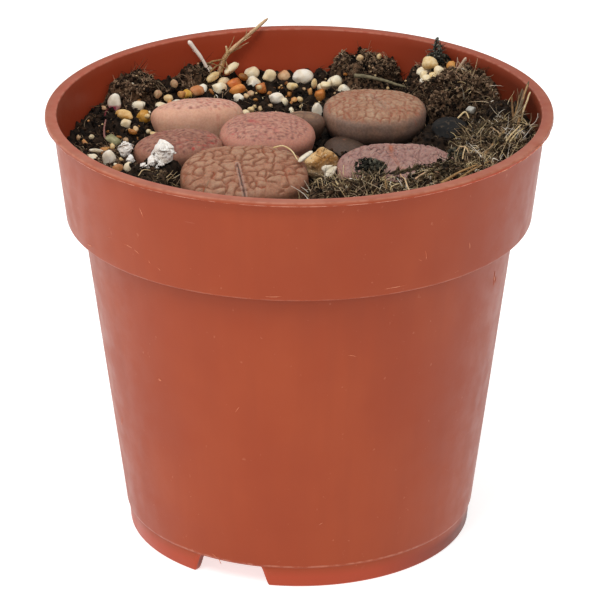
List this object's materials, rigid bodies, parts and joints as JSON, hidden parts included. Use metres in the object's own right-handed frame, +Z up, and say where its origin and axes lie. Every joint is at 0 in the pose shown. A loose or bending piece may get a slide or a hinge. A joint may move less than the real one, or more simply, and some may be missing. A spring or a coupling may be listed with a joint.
{
  "type": "potted living stone",
  "caption": "Living stone plants with netted flat-topped heads, standing in peaty soil with pale grit in a round terracotta-coloured plastic pot with a wide collar.",
  "frame": {"origin": "centre of the pot's foot, on the surface that it stands on", "axes": "+Z up along the pot's axis, -Y towards the front, +X to the right seen from the front"},
  "size_m": [0.085, 0.085, 0.0768],
  "materials": {
    "pot_plastic": "satin",
    "peat": "matte",
    "skin_brown": "matte",
    "skin_mauve": "matte",
    "skin_pink": "matte",
    "skin_orange_brown": "matte",
    "skin_tan": "matte",
    "skin_red_brown": "matte",
    "skin_grey_brown": "matte",
    "sandstone": "matte",
    "slate": "matte",
    "white_stone": "satin",
    "cream_grit": "satin",
    "orange_grit": "satin",
    "white_flake": "matte",
    "straw": "matte"
  },
  "bodies": {
    "root": {"pot": "pot_plastic", "soil": "peat", "dark_spike": "peat", "peat_crumb": "peat", "head_front": "skin_brown", "head_front_right": "skin_mauve", "head_centre": "skin_pink", "head_rear_right": "skin_orange_brown", "head_rear_left": "skin_tan", "head_left": "skin_red_brown", "head_small": "skin_grey_brown", "sandstone_pebble": "sandstone", "slate_stone": "slate", "white_pebble": "white_stone", "grit_stained": "white_stone", "grit_cream_01": "cream_grit", "grit_cream_02": "cream_grit", "grit_cream_03": "cream_grit", "grit_cream_04": "cream_grit", "grit_cream_05": "cream_grit", "grit_cream_06": "cream_grit", "grit_cream_07": "cream_grit", "grit_cream_08": "cream_grit", "grit_cream_09": "cream_grit", "grit_cream_10": "cream_grit", "grit_cream_11": "cream_grit", "grit_cream_12": "cream_grit", "grit_cream_13": "cream_grit", "grit_cream_14": "cream_grit", "grit_cream_15": "cream_grit", "grit_cream_16": "cream_grit", "grit_cream_17": "cream_grit", "grit_cream_18": "cream_grit", "grit_cream_19": "cream_grit", "grit_cream_20": "cream_grit", "grit_cream_21": "cream_grit", "grit_cream_22": "cream_grit", "grit_cream_23": "cream_grit", "grit_orange_01": "orange_grit", "grit_orange_02": "orange_grit", "grit_orange_03": "orange_grit", "grit_orange_04": "orange_grit", "grit_orange_05": "orange_grit", "grit_orange_06": "orange_grit", "grit_orange_07": "orange_grit", "grit_orange_08": "orange_grit", "grit_orange_09": "orange_grit", "grit_orange_10": "orange_grit", "grit_orange_11": "orange_grit", "white_crumb_left": "white_flake", "white_crumb_right": "white_flake", "white_straw": "straw", "dry_stalk": "straw", "short_straw": "straw", "right_straw_long": "straw", "right_straw_short": "straw"}
  },
  "joints": []
}
